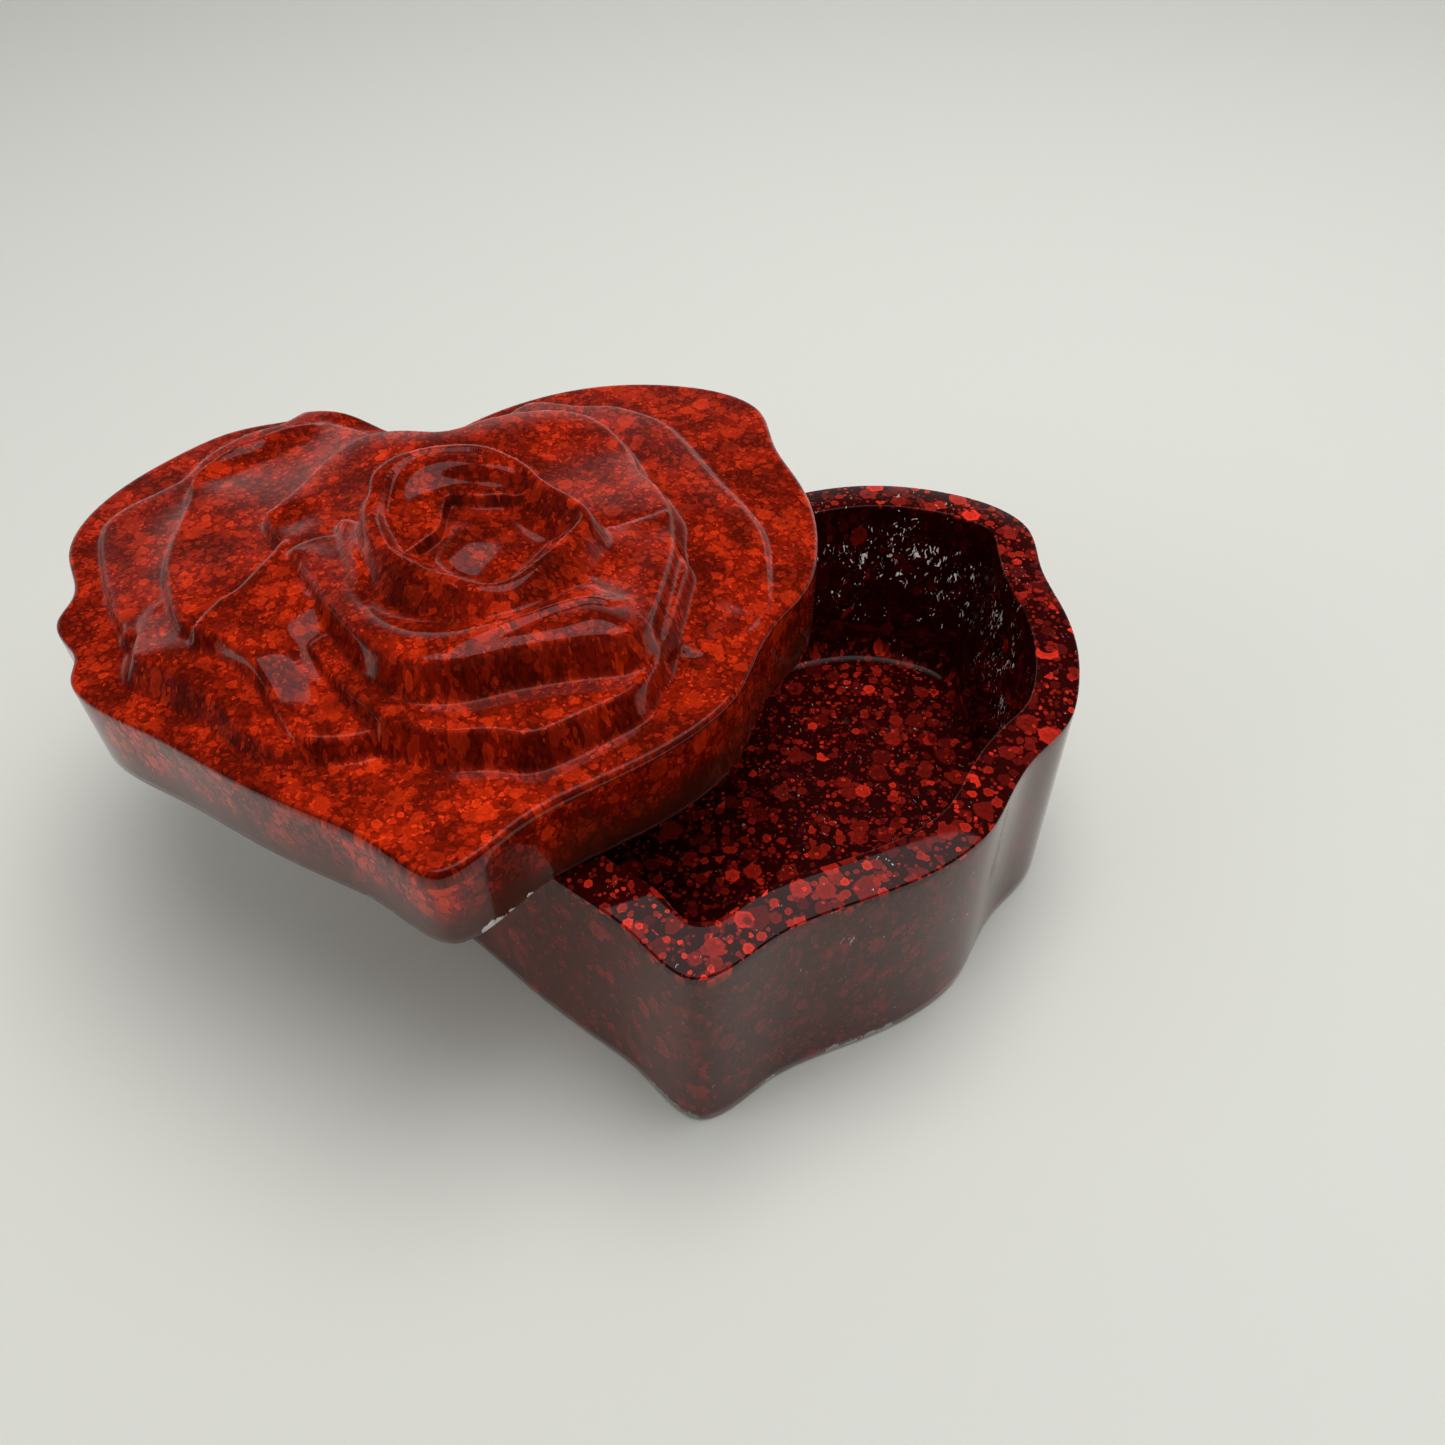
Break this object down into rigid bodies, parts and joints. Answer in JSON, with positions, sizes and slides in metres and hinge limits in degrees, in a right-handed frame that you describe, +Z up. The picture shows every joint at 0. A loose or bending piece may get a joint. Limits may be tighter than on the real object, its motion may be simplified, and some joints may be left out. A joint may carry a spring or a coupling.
{
  "type": "heart-shaped trinket box",
  "caption": "Heart-shaped trinket box of cast glitter resin; a loose lid carved as a rose lies swung aside on the flat rim of a hollow base for small keepsakes.",
  "frame": {"origin": "middle of the base's flat foot, on the surface that it stands on", "axes": "+X across the heart to the right, -Y towards the heart's tip, +Z up"},
  "size_m": [0.1655, 0.1178, 0.0714],
  "materials": {
    "base_resin": "near-black red cast resin with loose red glitter flakes, polished",
    "lid_resin": "dark red cast resin packed with orange-red glitter flakes, polished"
  },
  "bodies": {
    "base": {"box_base": "base_resin"},
    "lid": {"rose_lid": "lid_resin"}
  },
  "joints": [
    {"name": "lid_swing", "type": "hinge", "parent": "base", "child": "lid", "pos_m": [-0.046, -0.2275, 0.042], "axis": [0, 0, -1], "range_deg": [0, 10.3]}
  ]
}
